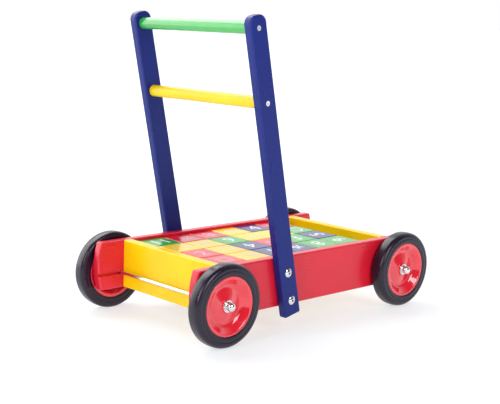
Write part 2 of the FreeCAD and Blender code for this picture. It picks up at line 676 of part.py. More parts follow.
def build_handle():
    """The handle: two uprights, two bars and what fastens them."""
    pieces = [upright(name, side) for name, side in SIDES.items()]
    pieces += [bar("handle_bar", HANDLE_ALONG), bar("cross_bar", CROSS_ALONG)]
    screws = []
    bolts = []
    inserts = []
    for name, side in SIDES.items():
        screws.append(bar_screw(f"handle_screw_{name}", side, HANDLE_ALONG))
        screws.append(bar_screw(f"cross_screw_{name}", side, CROSS_ALONG))
        for level in ("low", "high"):
            distance = size(f"bolt_{level}")
            bolts.append(upright_bolt(f"bolt_{level}_{name}", side, distance))
            inserts.append(threaded_insert(f"insert_{level}_{name}", side, distance))
    pieces += [group("bar_screws", screws), group("upright_bolts", bolts)]
    return pieces + [group("threaded_inserts", inserts)]


def build_wheels():
    """Two axles, and on each end of them a wheel, two washers and a cap."""
    pieces = [axle(name, end) for name, end in ENDS.items()]
    inner_washers = []
    outer_washers = []
    caps = []
    for end_name, end in ENDS.items():
        for side_name, side in SIDES.items():
            corner = f"{end_name}_{side_name}"
            pieces.append(hub(f"hub_{corner}", end, side))
            pieces.append(tyre(f"tyre_{corner}", end, side))
            inner_washers.append(washer(f"inner_washer_{corner}", end, side, "0",
                                        size("inner_washer")))
            outer_washers.append(washer(f"outer_washer_{corner}", end, side, WASHER_INNER,
                                        size("outer_washer")))
            caps.append(axle_cap(f"axle_cap_{corner}", end, side))
    pieces += [group("inner_washers", inner_washers), group("outer_washers", outer_washers)]
    return pieces + [group("axle_caps", caps)]


def build_blocks():
    """The building cubes, in rows from the rear of the tray."""
    rows = int(value(size("block_rows")))
    columns = int(value(size("block_columns")))
    return [block(row, column)
            for row in range(1, rows + 1) for column in range(1, columns + 1)]


def check(nodes):
    """Stop if any object failed, or if any piece is missing, broken or not solid."""
    for thing in DOC.Objects:
        if "Invalid" in thing.State or "Error" in thing.State:
            raise RuntimeError(f"{thing.Name} did not rebuild: {thing.State}")
    for node in nodes:
        shape = node.Shape
        if shape.isNull() or not shape.isValid() or not shape.Solids:
            raise RuntimeError(f"{node.Label} is not a sound solid")


def write(nodes):
    """Write each piece to its own file."""
    os.makedirs("parts", exist_ok=True)
    for node in nodes:
        node.Shape.exportStep(os.path.join("parts", f"{node.Label}.step"))
        print(node.Label, len(node.Shape.Solids), round(node.Shape.Volume, 1))


NODES = build_tray() + build_handle() + build_wheels() + build_blocks()
DOC.recompute()
check(NODES)
write(NODES)
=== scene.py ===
import json
import math

import bpy
import bmesh
import numpy as np
from mathutils import Matrix, Vector

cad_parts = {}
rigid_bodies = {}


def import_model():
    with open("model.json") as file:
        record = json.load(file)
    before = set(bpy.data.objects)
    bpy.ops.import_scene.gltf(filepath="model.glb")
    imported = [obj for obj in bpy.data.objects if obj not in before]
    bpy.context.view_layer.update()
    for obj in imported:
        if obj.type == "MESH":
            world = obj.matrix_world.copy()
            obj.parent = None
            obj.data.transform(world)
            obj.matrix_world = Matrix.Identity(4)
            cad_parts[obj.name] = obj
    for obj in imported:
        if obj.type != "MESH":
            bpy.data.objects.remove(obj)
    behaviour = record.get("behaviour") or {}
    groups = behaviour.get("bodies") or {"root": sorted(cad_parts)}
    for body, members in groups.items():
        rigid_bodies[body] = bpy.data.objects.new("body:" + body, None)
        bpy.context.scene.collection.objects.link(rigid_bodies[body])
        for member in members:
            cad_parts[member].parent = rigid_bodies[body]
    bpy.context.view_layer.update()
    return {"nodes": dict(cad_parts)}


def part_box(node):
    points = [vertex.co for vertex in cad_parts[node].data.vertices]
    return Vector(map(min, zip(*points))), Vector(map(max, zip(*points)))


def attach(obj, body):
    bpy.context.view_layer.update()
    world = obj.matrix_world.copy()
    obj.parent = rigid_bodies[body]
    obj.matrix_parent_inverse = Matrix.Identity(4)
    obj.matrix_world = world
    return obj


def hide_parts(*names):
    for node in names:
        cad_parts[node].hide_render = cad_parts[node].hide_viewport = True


bl_info = {
    "name": "Push-along walker",
    "version": (1, 0, 0),
    "blender": (4, 5, 0),
    "location": "3D View > Sidebar > Walker",
    "description": "Finishes a wooden push-along walker with its wheels and building cubes",
    "category": "Object",
}

# A new Blender file holds a cube, a lamp and a camera, which are not part of the walker.
for leftover in list(bpy.data.objects):
    bpy.data.objects.remove(leftover)

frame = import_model()
NODES = frame["nodes"]

# The record's material slot of each CAD node, kept before any finish is changed.
SLOTS = {name: thing.material_slots[0].material.name for name, thing in NODES.items()}

# Which way each side's wheels face along Y, and every wheel as an end and a side.
SIDES = {"left": 1, "right": -1}
WHEELS = [(end, side) for end in ("front", "rear") for side in SIDES]

# How far the uprights lean back.
LEAN = math.radians(12)

# The round bars: the bevel at their ends, and how far the turned surface wavers and how often.
BAR_BEVEL = 0.0012
BAR_WAVER, BAR_WAVES = 0.00004, 210.0

# Where the outer washer sits, outwards from the side panel, and the sizes of washer and cap.
WASHER_START, WASHER_THICKNESS = 0.0205, 0.0012
WASHER_HOLE, WASHER_RADIUS = 0.0026, 0.0089
CAP_RADIUS, CAP_NECK = 0.0066, 0.0054
CAP_SKIRT, CAP_DOME = 0.0063, 0.0045

# The drawn line of a printed shape.
MARK_LINE = 0.0030

# What is printed on the cubes' tops, row by row from the rear and from left to right.
MARKS = [
    ["11", "ring", "2", "square"],
    ["star", "6", "ring", "3"],
    ["8", "9", "4", "1"],
    ["cross", "5", "7", "star"],
    ["4", "triangle", "3", "8"],
    ["2", "ring", "5", "6"],
]
SHAPES = ("ring", "square", "triangle", "star", "cross")
KINDS = sorted({mark for row in MARKS for mark in row})

# A cube's printed faces: outwards, upwards, and how much further on in KINDS its mark is.
PRINTED_FACES = (
    ((0, 0, 1), (0, 1, 0), 0),
    ((1, 0, 0), (0, 0, 1), 3),
    ((-1, 0, 0), (0, 0, 1), 5),
    ((0, 1, 0), (0, 0, 1), 7),
    ((0, -1, 0), (0, 0, 1), 9),
)

# For each paint of the cubes, the ink printed on it and the stretch of its grain.
CUBE_PAINTS = {
    "red_wood": ("lilac", (5, 5, 1)),
    "yellow_wood": ("grey", (1, 5, 5)),
    "blue_wood": ("white", (5, 1, 5)),
    "green_wood": ("white", (5, 5, 1)),
}

# The camera's place and what it looks at, in metres, and its sensor's width in millimetres.
CAMERA_PLACE, CAMERA_AIM = Vector((-1.1658, -1.2083, 0.4548)), Vector((0.0240, 0.0482, 0.1578))
SENSOR_WIDTH = 36.0

# Horizontal direction in which the surroundings grow brighter, and between which shares of it.
BACKDROP_DIRECTION, BACKDROP_RANGE = (0.69, 0.72, 0.0), (-0.15, 0.80)

# Radii of the floor's rings of points, in metres.
FLOOR_RINGS = (0.0, 1.0, 4.0, 60.0)


# ---------------------------------------------------------------- settings

def colour(name, description, default):
    """A colour that a user can change."""
    return bpy.props.FloatVectorProperty(name=name, description=description, default=default,
                                         subtype="COLOR", size=3, min=0.0, max=1.0)


def length(name, description, default):
    """A length that a user can change, in metres."""
    return bpy.props.FloatProperty(name=name, description=description, default=default,
                                   unit="LENGTH", subtype="DISTANCE", min=0.0, precision=4)


def brightness(name, description, default):
    """A brightness that a user can change."""
    return bpy.props.FloatProperty(name=name, description=description, default=default,
                                   min=0.0, max=5.0)


def power(name, description, default):
    """A lamp's power that a user can change, in watts."""
    return bpy.props.FloatProperty(name=name, description=description, default=default,
                                   min=0.0, unit="POWER")


class WalkerColours(bpy.types.PropertyGroup):
    """Paints, plastic, rubber and inks"""
    red_wood: colour("Red paint", "Side panels and red cubes", (0.73, 0.010, 0.032))
    yellow_wood: colour("Yellow paint", "End panels, cross bar and yellow cubes",
                        (1.0, 0.615, 0.001))
    blue_wood: colour("Blue paint", "Uprights and blue cubes", (0.006, 0.017, 0.180))
    green_wood: colour("Green paint", "Handle bar and green cubes", (0.025, 0.395, 0.050))
    red_plastic: colour("Wheel centres", "Moulded red plastic", (0.84, 0.012, 0.034))
    rubber: colour("Tyres", "Solid rubber", (0.012, 0.006, 0.020))
    steel: colour("Steel", "Axles, washers, caps, bolts and screws", (0.80, 0.80, 0.82))
    bare_wood: colour("Bare wood", "Tray floor and hidden dowels", (0.66, 0.45, 0.25))
    white: colour("White ink", "Printing on green and blue cubes", (0.74, 0.77, 0.80))
    grey: colour("Grey ink", "Printing on yellow cubes", (0.62, 0.58, 0.34))
    lilac: colour("Lilac ink", "Printing on red cubes", (0.66, 0.30, 0.42))


class WalkerSizes(bpy.types.PropertyGroup):
    """Sizes of the turned, moulded and printed details"""
    cube_edge: length("Cube edge", "Rounding of a cube's edges", 0.0015)
    mark_height: length("Mark height", "Printed mark on a cube", 0.026)
    ink_thickness: length("Ink thickness", "Printed ink above the paint", 0.00006)
    parting_line: length("Parting line", "Fine ridge left by the tyre's mould", 0.00018)
    wall_ring: length("Wall ring", "Depth of the ring pressed into the tyre's walls", 0.0006)
    soft_corner: length("Plastic corners", "Rounding of the wheel centre's corners", 0.0016)
    metal_corner: length("Metal corners", "Rounding of washers and caps", 0.0004)


class StageSettings(bpy.types.PropertyGroup):
    """Light and camera"""
    near_surround: brightness("Near surround", "Brightness of the room behind the camera", 0.10)
    far_surround: brightness("Far surround", "Brightness of the backdrop beyond the walker", 1.25)
    overhead: power("Overhead", "Power of the overhead soft box", 36.0)
    side: power("Side", "Power of the soft box at the near side", 27.0)
    rear: power("Rear", "Power of the soft box behind the walker", 27.0)
    far: power("Far", "Power of the soft box at the far side", 34.0)
    glow: brightness("Floor glow", "Light that the pale floor gives off", 0.60)
    lens: bpy.props.FloatProperty(name="Lens", description="Focal length in millimetres",
                                  default=78.1, min=10.0, max=300.0)
    roll: bpy.props.FloatProperty(name="Roll", description="Turn of the camera about its own view",
                                  default=0.033, subtype="ANGLE", unit="ROTATION")


# ---------------------------------------------------------------- surfaces

def softened(corners, radius, steps=6, closed=True):
    """A profile with its corners rounded.

    Each corner is replaced by a quadratic curve that leaves one neighbouring side and joins
    the other at the radius from the corner, or at 45% of the side where that is shorter."""
    corners = np.asarray(corners, float)
    before = np.roll(corners, 1, axis=0) - corners
    after = np.roll(corners, -1, axis=0) - corners
    reach = np.linalg.norm(before, axis=1), np.linalg.norm(after, axis=1)
    cut = np.minimum(radius, 0.45 * np.minimum(*reach))
    if not closed:
        cut[[0, -1]] = 0.0
    start = corners + before * (cut / np.maximum(reach[0], 1e-12))[:, None]
    end = corners + after * (cut / np.maximum(reach[1], 1e-12))[:, None]
    t = np.linspace(0, 1, steps)[None, :, None]
    curve = ((1 - t) ** 2 * start[:, None] + 2 * t * (1 - t) * corners[:, None]
             + t ** 2 * end[:, None])
    return curve.reshape(-1, 2)


def grid_faces(rows, columns, wrap_rows, wrap_columns):
    """Quads of a grid of points; a wrapped direction joins its last line to its first."""
    i = np.arange(rows if wrap_rows else rows - 1)[:, None]
    j = np.arange(columns if wrap_columns else columns - 1)[None, :]
    right, down = (j + 1) % columns, (i + 1) % rows
    quads = (i * columns + j, down * columns + j, down * columns + right, i * columns + right)
    return np.stack([q.ravel() for q in np.broadcast_arrays(*quads)], axis=1)


def turned(profile, middle, side, around=128, closed=True):
    """Points and quads of a surface turned about a line along Y.

    A point of the profile at radius r and height h becomes, for every angle t, the point
    r cos t along X, h times the side along Y and r sin t along Z from the middle."""
    t = np.linspace(0, 2 * np.pi, around, endpoint=False)[None, :]
    r, h = profile[:, 0][:, None], profile[:, 1][:, None]
    x, y, z = np.broadcast_arrays(r * np.cos(t), side * h, r * np.sin(t))
    points = np.stack([x, y, z], axis=-1).reshape(-1, 3) + np.asarray(middle)
    return points, grid_faces(len(profile), around, closed, True)


def rounded_block(low, high, edge, steps=15):
    """Points and quads of a block with round edges.

    Every point of the plain block's six faces is pulled in to the block that is smaller by
    the edge radius all round, then pushed out again by that radius in the direction that it
    was pulled from."""
    low, high = np.asarray(low, float), np.asarray(high, float)
    half, middle = (high - low) / 2, (high + low) / 2
    s = np.linspace(-1, 1, steps)
    s = np.sign(s) * np.abs(s) ** 0.45  # points gather towards the edges
    u, v = (a.ravel() for a in np.meshgrid(s, s, indexing="ij"))
    one, points, faces = np.ones_like(u), [], []
    for axis in range(3):
        for sign in (-1, 1):
            face = np.stack([sign * one, u, v], axis=1)
            points.append(np.roll(face, axis, axis=1))
            faces.append(grid_faces(steps, steps, False, False) + len(faces) * steps * steps)
    outer = np.concatenate(points) * half
    core = np.clip(outer, -(half - edge), half - edge)
    away = outer - core
    away /= np.linalg.norm(away, axis=1, keepdims=True)
    return core + away * edge + middle, np.concatenate(faces)


def joined(parts):
    """Several (points, faces) pairs as one pair."""
    starts = np.cumsum([0] + [len(points) for points, _ in parts[:-1]])
    return (np.concatenate([points for points, _ in parts]),
            np.concatenate([faces + start for (_, faces), start in zip(parts, starts)]))


def make_mesh(name, points, faces, merge):
    """A mesh with its doubled points merged and its faces turned outwards."""
    mesh = bpy.data.meshes.new(name)
    mesh.from_pydata(points.tolist(), [], faces.tolist())
    shape = bmesh.new()
    shape.from_mesh(mesh)
    bmesh.ops.remove_doubles(shape, verts=shape.verts, dist=merge)
    bmesh.ops.recalc_face_normals(shape, faces=shape.faces)
    shape.to_mesh(mesh)
    shape.free()
    return mesh


def make_piece(name, points, faces, material, body, slot, axis_distance=None, crease=40):
    """A finished piece that rides on its body. Each point can carry its distance from an
    axis, for the marks that turning leaves; edges sharper than the crease stay sharp."""
    mesh = make_mesh(name, points, faces, merge=2e-7)
    mesh.shade_smooth()
    mesh.set_sharp_from_angle(angle=math.radians(crease))
    if axis_distance is not None:
        co = np.zeros(len(mesh.vertices) * 3, np.float32)
        mesh.vertices.foreach_get("co", co)
        mark = mesh.attributes.new("from_axis", "FLOAT", "POINT")
        mark.data.foreach_set("value", axis_distance(co.reshape(-1, 3)).astype(np.float32))
    mesh.materials.append(material)
    piece = bpy.data.objects.new(name, mesh)
    bpy.context.scene.collection.objects.link(piece)
    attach(piece, body)
    return piece


# ---------------------------------------------------------------- finishes

class Finish:
    """A material and its nodes, built up one node at a time."""

    def __init__(self, name):
        self.material = bpy.data.materials.new(name)
        self.material.use_nodes = True
        self.tree = self.material.node_tree
        self.tree.nodes.clear()
        output = self.tree.nodes.new("ShaderNodeOutputMaterial")
        self.shader = self.tree.nodes.new("ShaderNodeBsdfPrincipled")
        self.tree.links.new(self.shader.outputs["BSDF"], output.inputs["Surface"])
        self.place = self.tree.nodes.new("ShaderNodeTexCoord").outputs["Object"]
        self.facing = self.place.node.outputs["Normal"]

    def node(self, kind, settings=None, **inputs):
        """A node with its settings; an input is a number, a colour or another node's socket."""
        made = self.tree.nodes.new("ShaderNode" + kind)
        for key, choice in (settings or {}).items():
            setattr(made, key, choice)
        for key, source in inputs.items():
            socket = made.inputs[int(key[1:])] if key[1:].isdigit() else made.inputs[key]
            if isinstance(source, bpy.types.NodeSocket):
                self.tree.links.new(source, socket)
            else:
                socket.default_value = source
        return made

    def math(self, operation, *values):
        """One sum, product or comparison."""
        sockets = {f"_{i}": v for i, v in enumerate(values)}
        return self.node("Math", {"operation": operation}, **sockets).outputs[0]

    def noise(self, scale, detail=3.0, stretch=(1, 1, 1), roughness=0.55, distortion=0.0):
        """Noise over the piece, from 0 to 1; stretch multiplies its scale along X, Y and Z."""
        place = self.node("Mapping", Vector=self.place, Scale=stretch).outputs[0]
        return self.node("TexNoise", Vector=place, Scale=scale, Detail=detail,
                         Roughness=roughness, Distortion=distortion).outputs["Fac"]

    def spread(self, value, low, high, to_low=0.0, to_high=1.0, soft=False):
        """A value carried from one range to another, and kept inside it."""
        made = self.node("MapRange", {"interpolation_type": "SMOOTHSTEP" if soft else "LINEAR"},
                         _0=value, _1=low, _2=high, _3=to_low, _4=to_high)
        return made.outputs[0]

    def blend(self, share, first, second):
        """Two colours mixed by a share."""
        made = self.node("Mix", {"data_type": "RGBA"})
        for number, source in ((0, share), (6, first), (7, second)):
            if isinstance(source, bpy.types.NodeSocket):
                self.tree.links.new(source, made.inputs[number])
            else:
                made.inputs[number].default_value = source
        return made.outputs[2]

    def edges(self, lean=0.0):
        """1 on the round edges of a squared board and 0 on its flat faces.

        The largest part of the facing direction along the board's own three axes is near 1
        on a flat face and falls on an edge."""
        facing = self.facing
        if lean:
            facing = self.node("VectorRotate", {"rotation_type": "Y_AXIS"}, Vector=facing,
                               Angle=lean).outputs[0]
        size = self.node("VectorMath", {"operation": "ABSOLUTE"}, _0=facing).outputs[0]
        parts = self.node("SeparateXYZ", Vector=size).outputs
        largest = self.math("MAXIMUM", self.math("MAXIMUM", parts[0], parts[1]), parts[2])
        return self.spread(largest, 0.94, 0.78, soft=True)

    def bump(self, height, strength, distance):
        """Relief from a height."""
        made = self.node("Bump", Height=height, Strength=strength, Distance=distance)
        self.tree.links.new(made.outputs[0], self.shader.inputs["Normal"])

    def from_axis(self):
        """The distance from its axis that a turned piece carries at each point."""
        return self.node("Attribute", {"attribute_name": "from_axis"}).outputs["Fac"]

    def link(self, source, name):
        """One of the shader's inputs, fed by a socket."""
        self.tree.links.new(source, self.shader.inputs[name])

    def constants(self, **values):
        """Some of the shader's inputs, set to numbers or colours."""
        for name, number in values.items():
            self.shader.inputs[name.replace("_", " ")].default_value = number


def tint(rgb, factor, lift=0.0):
    """A colour made darker or lighter, as four numbers."""
    return tuple(min(1.0, c * factor + lift) for c in rgb) + (1.0,)


def lacquered_wood(name, rgb, grain=(1, 8, 8), lean=0.0, gloss=0.26, specular=0.42, coat=0.10):
    """Opaque gloss paint on wood: broad uneven tone, faint grain that shows through, paint
    worn thin and paler on the edges, specks, and an orange-peel skin."""
    f = Finish(name)
    broad = f.noise(9.0, 2.0)
    lines = f.noise(62.0, 5.0, stretch=grain, roughness=0.62, distortion=0.3)
    peel = f.noise(900.0, 2.0)
    specks = f.spread(f.noise(1500.0, 1.0), 0.70, 0.78)
    wear = f.math("MULTIPLY", f.edges(lean), f.spread(f.noise(140.0, 3.0), 0.36, 0.66, 0.25, 1.0))
    body = f.blend(f.spread(broad, 0.3, 0.7), tint(rgb, 0.90), tint(rgb, 1.07))
    grained = f.blend(f.spread(lines, 0.42, 0.70, 0.0, 0.10), body, tint(rgb, 0.78))
    worn = f.blend(f.math("MULTIPLY", wear, 0.34), grained, tint(rgb, 1.10, 0.075))
    f.link(f.blend(f.math("MULTIPLY", specks, 0.10), worn, tint(rgb, 0.55)), "Base Color")
    uneven = f.math("ADD", f.math("MULTIPLY", broad, 0.8), f.math("MULTIPLY", lines, 0.2))
    f.link(f.math("ADD", f.spread(uneven, 0.3, 0.7, gloss - 0.05, gloss + 0.08),
                  f.math("MULTIPLY", wear, 0.10)), "Roughness")
    skin = f.math("ADD", f.math("MULTIPLY", lines, 0.05), f.math("MULTIPLY", peel, 0.14))
    f.bump(f.math("SUBTRACT", skin, f.math("MULTIPLY", wear, 0.2)), 0.22, 0.0003)
    f.constants(Coat_Weight=coat, Coat_Roughness=0.10, Specular_IOR_Level=specular)
    return f.material


def bare_wood(name, rgb):
    """Unpainted ply: long wavering growth lines, pores and a dry satin surface."""
    f = Finish(name)
    lines = f.noise(24.0, 6.0, stretch=(1, 11, 11), roughness=0.6, distortion=0.9)
    pores = f.spread(f.noise(420.0, 2.0, stretch=(1, 14, 14)), 0.62, 0.75)
    body = f.blend(f.spread(lines, 0.3, 0.7), tint(rgb, 0.78), tint(rgb, 1.15))
    f.link(f.blend(f.math("MULTIPLY", pores, 0.5), body, tint(rgb, 0.45)), "Base Color")
    f.link(f.spread(lines, 0.3, 0.7, 0.50, 0.68), "Roughness")
    f.bump(f.math("SUBTRACT", lines, f.math("MULTIPLY", pores, 0.6)), 0.35, 0.0004)
    return f.material


def moulded_plastic(name, rgb):
    """Glossy moulded plastic: faint flow marks, fine rings from the mould and a soft skin."""
    f = Finish(name)
    flow = f.noise(38.0, 3.0, distortion=1.2)
    skin = f.noise(520.0, 2.0)
    rings = f.math("SINE", f.math("MULTIPLY", f.from_axis(), 5200.0))
    scuffs = f.spread(f.noise(240.0, 4.0, stretch=(1, 5, 1)), 0.60, 0.74)
    body = f.blend(f.spread(flow, 0.3, 0.7), tint(rgb, 0.93), tint(rgb, 1.06))
    f.link(f.blend(f.math("MULTIPLY", scuffs, 0.10), body, tint(rgb, 1.0, 0.06)), "Base Color")
    f.link(f.math("ADD", f.spread(flow, 0.3, 0.7, 0.10, 0.15),
                  f.math("MULTIPLY", scuffs, 0.08)), "Roughness")
    f.bump(f.math("ADD", skin, f.math("MULTIPLY", rings, 0.10)), 0.06, 0.00015)
    f.constants(Coat_Weight=0.8, Coat_Roughness=0.05, Specular_IOR_Level=0.75)
    return f.material


def tyre_rubber(name, rgb):
    """Solid rubber: near black, with a soft sheen and a fine tooth, and dusty in patches,
    most of all on the tread."""
    f = Finish(name)
    patches = f.noise(26.0, 4.0, roughness=0.6)
    tooth = f.noise(1300.0, 2.0)
    tread = f.spread(f.from_axis(), 0.0570, 0.0600, soft=True)
    dust = f.math("MULTIPLY", f.spread(patches, 0.45, 0.75),
                  f.math("ADD", f.math("MULTIPLY", tread, 0.5), 0.35))
    f.link(f.blend(f.math("MULTIPLY", dust, 0.4), tint(rgb, 1.0), tint(rgb, 1.8, 0.003)),
           "Base Color")
    f.link(f.math("ADD", f.spread(patches, 0.3, 0.7, 0.24, 0.32),
                  f.math("MULTIPLY", dust, 0.10)), "Roughness")
    f.bump(f.math("ADD", f.math("MULTIPLY", tooth, 0.8), patches), 0.16, 0.00025)
    f.constants(Specular_IOR_Level=0.45)
    return f.material


def bright_steel(name, rgb, turned_marks=False):
    """Plated steel: bright and smooth, with a little tarnish and fine marks from its making."""
    f = Finish(name)
    tarnish = f.noise(180.0, 4.0)
    marks = f.noise(900.0, 3.0, stretch=(1, 0.04, 1))
    if turned_marks:
        rings = f.math("SINE", f.math("MULTIPLY", f.from_axis(), 21000.0))
        marks = f.math("ADD", f.math("MULTIPLY", rings, 0.25), marks)
    f.link(f.blend(f.spread(tarnish, 0.35, 0.75), tint(rgb, 1.05), tint(rgb, 0.80)), "Base Color")
    f.link(f.spread(tarnish, 0.3, 0.75, 0.09, 0.24), "Roughness")
    f.bump(marks, 0.06, 0.0001)
    f.constants(Metallic=1.0)
    return f.material


def printed_ink(name, rgb):
    """Screen-printed ink: a little uneven, with tiny misses."""
    f = Finish(name)
    weave = f.noise(700.0, 3.0)
    misses = f.spread(f.noise(320.0, 4.0), 0.62, 0.74)
    body = f.blend(f.spread(weave, 0.3, 0.7), tint(rgb, 0.94), tint(rgb, 1.05))
    f.link(f.blend(f.math("MULTIPLY", misses, 0.35), body, tint(rgb, 0.7)), "Base Color")
    f.link(f.spread(weave, 0.3, 0.7, 0.30, 0.42), "Roughness")
    f.bump(weave, 0.15, 0.0001)
    f.constants(Coat_Weight=0.25, Coat_Roughness=0.12)
    return f.material


def pale_floor(name, glow):
    """A plain pale studio floor with a barely visible tooth, lit a little from within so that
    its shadows stay soft and light, and more so far away, where it meets the backdrop."""
    f = Finish(name)
    tooth = f.noise(60.0, 3.0)
    f.link(f.blend(f.spread(tooth, 0.3, 0.7), (0.395, 0.44, 0.465, 1), (0.415, 0.46, 0.485, 1)),
           "Base Color")
    f.link(f.spread(tooth, 0.3, 0.7, 0.55, 0.65), "Roughness")
    reach = f.node("VectorMath", {"operation": "LENGTH"}, _0=f.place).outputs["Value"]
    f.link(f.spread(reach, 0.5, 2.6, glow, 1.0, soft=True), "Emission Strength")
    f.constants(Specular_IOR_Level=0.15, Emission_Color=(1, 1, 1, 1))
    return f.material


def give(finish, *nodes):
    """Puts a finish on CAD nodes whose shape is right as it is."""
    for name in nodes:
        NODES[name].material_slots[0].material = finish


# ---------------------------------------------------------------- marks on the cubes

def band_mark(kind, height, thickness):
    """Points and triangles of a simple shape drawn with one line.

    A small rectangle is carried round a closed path: a circle, or straight sides between the
    corners of a square, a triangle, a five-pointed star or a plus sign."""
    t = np.linspace(0, 2 * np.pi, 41)[:-1]
    corners = {
        "ring": np.stack([np.cos(t), np.sin(t)], 1),
        "square": np.array([(-1, -1), (1, -1), (1, 1), (-1, 1)]) * 0.88,
        "triangle": np.array([(-1.0, -0.8), (1.0, -0.8), (0.0, 0.95)]),
        "star": np.stack([np.cos(t[::4] + np.pi / 2), np.sin(t[::4] + np.pi / 2)], 1)
        * np.where(np.arange(10) % 2, 0.45, 1.08)[:, None],
        "cross": np.array([(-.35, -1), (.35, -1), (.35, -.35), (1, -.35), (1, .35), (.35, .35),
                           (.35, 1), (-.35, 1), (-.35, .35), (-1, .35), (-1, -.35), (-.35, -.35)]),
    }[kind]
    before, after = np.roll(corners, 1, 0), np.roll(corners, -1, 0)
    along = (corners - before) / np.linalg.norm(corners - before, axis=1, keepdims=True)
    onward = (after - corners) / np.linalg.norm(after - corners, axis=1, keepdims=True)
    out_one = np.stack([along[:, 1], -along[:, 0]], 1)
    out_two = np.stack([onward[:, 1], -onward[:, 0]], 1)
    mitre = (out_one + out_two) / (1 + (out_one * out_two).sum(1))[:, None]
    outer, inner = corners * height / 2, corners * height / 2 - mitre * MARK_LINE
    up = thickness / 2
    rings = [np.column_stack([ring, np.full(len(ring), z)])
             for ring, z in ((outer, up), (inner, up), (inner, -up), (outer, -up))]
    quads = grid_faces(4, len(corners), True, True)
    return np.concatenate(rings), np.concatenate([quads[:, [0, 1, 2]], quads[:, [0, 2, 3]]])


def numeral_mark(text, height, thickness):
    """Points and triangles of a plain numeral, as a thin solid on its own middle."""
    curve = bpy.data.curves.new("numeral", "FONT")
    curve.body = text
    curve.size = 1.0
    curve.resolution_u = 4
    curve.offset = 0.012  # a little bolder than the plain font
    curve.extrude = 0.5
    carrier = bpy.data.objects.new("numeral", curve)
    bpy.context.scene.collection.objects.link(carrier)
    bpy.context.view_layer.update()
    solid = carrier.evaluated_get(bpy.context.evaluated_depsgraph_get())
    mesh = bpy.data.meshes.new_from_object(solid)
    mesh.calc_loop_triangles()
    points = np.zeros(len(mesh.vertices) * 3)
    mesh.vertices.foreach_get("co", points)
    faces = np.zeros(len(mesh.loop_triangles) * 3, np.int32)
    mesh.loop_triangles.foreach_get("vertices", faces)
    bpy.data.objects.remove(carrier)
    bpy.data.curves.remove(curve)
    bpy.data.meshes.remove(mesh)
    points = points.reshape(-1, 3)
    low, high = points.min(0), points.max(0)
    scale = height / (high[1] - low[1])
    return (points - (low + high) / 2) * (scale, scale, thickness), faces.reshape(-1, 3)


def on_face(mark, middle, out, up, quarter_turns):
    """A flat mark laid on a face: its Z becomes the face's outward direction, after its X and
    Y are turned by quarter turns from the face's right and up."""
    points, faces = mark
    angle = quarter_turns * np.pi / 2
    out, up = np.asarray(out, float), np.asarray(up, float)
    right = np.cross(up, out)
    u = right * np.cos(angle) + up * np.sin(angle)
    v = up * np.cos(angle) - right * np.sin(angle)
    return points @ np.stack([u, v, out]) + np.asarray(middle), faces


# ---------------------------------------------------------------- bars, wheels and metalwork

def bar_profile(half, radius):
    """A round bar's section along its length: flat ends, a bevel, and a side that wavers by
    one minus a cosine, as turned wood does."""
    edge = radius - BAR_BEVEL
    along = np.linspace(-half + BAR_BEVEL, half - BAR_BEVEL, 61)
    side = np.stack([radius - BAR_WAVER * (1 - np.cos(along * BAR_WAVES)), along], axis=1)
    return np.concatenate([[(0, -half), (edge, -half)], side, [(edge, half), (0, half)]])


def wheel_middle(end, side):
    """The point on the axle line at the outer face of the side panel, from the CAD boxes."""
    low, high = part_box(f"tyre_{end}_{side}")
    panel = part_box(f"side_panel_{side}")
    y = panel[1].y if SIDES[side] > 0 else panel[0].y
    return np.array([(low.x + high.x) / 2, y, (low.z + high.z) / 2])


def from_axle(middle):
    """How far points lie from an axle line."""
    return lambda points: np.hypot(points[:, 0] - middle[0], points[:, 2] - middle[2])


def from_nearer_axle(middle):
    """How far points lie from an axle line or from its mirror image at the other end."""
    return lambda points: np.hypot(np.abs(points[:, 0]) - abs(middle[0]),
                                   points[:, 2] - middle[2])


def tyre_profile(radius, inner, outer, groove, ridge):
    """A tyre's section.

    The tread and both walls follow a rounded square, where a power of the width part and the
    same power of the height part add up to one: the power is 3.3 outside and 4.5 inside. Below
    it, each wall falls in by a quarter of a cosine to the rim's lip. A fine ridge runs round
    the tread's middle and a shallow ring is pressed into each wall, both with the bell shape
    of an exponential of a negative square. The foot sits between the lips."""
    half, middle = (outer - inner) / 2, (outer + inner) / 2
    # radii of the rim's lip and of the seat under the foot, and half of the foot's width
    lip, seat, bead = 0.04276, 0.04087, 0.00862
    # radius where the rounded square ends, and half of the width that is left at the lip
    root, at_lip = 0.0480, 0.0101
    ridge_width, ring_radius, ring_width = 0.00035, 0.0505, 0.0010
    t = np.linspace(0, np.pi, 97)
    exponent = 2 / np.where(np.cos(t) > 0, 3.3, 4.5)
    across = np.sign(np.cos(t)) * np.abs(np.cos(t)) ** exponent
    height = root + (radius - ridge - root) * np.abs(np.sin(t)) ** exponent
    height += ridge * np.exp(-((across * half) / ridge_width) ** 2)
    pressed = np.exp(-((height - ring_radius) / ring_width) ** 2) * groove
    arch = np.stack([height, middle + np.sign(across) * (np.abs(across) * half - pressed)], axis=1)
    fall = np.linspace(0, np.pi / 2, 9)[1:]
    wall = np.stack([root - (root - lip) * np.sin(fall),
                     at_lip + (half - at_lip) * np.cos(fall)], axis=1)
    flank = np.concatenate([wall, [(lip, bead), (seat, bead)]])
    near, far = flank * (1, -1) + (0, middle), flank[::-1] + (0, middle)
    return np.concatenate([arch, near, far])


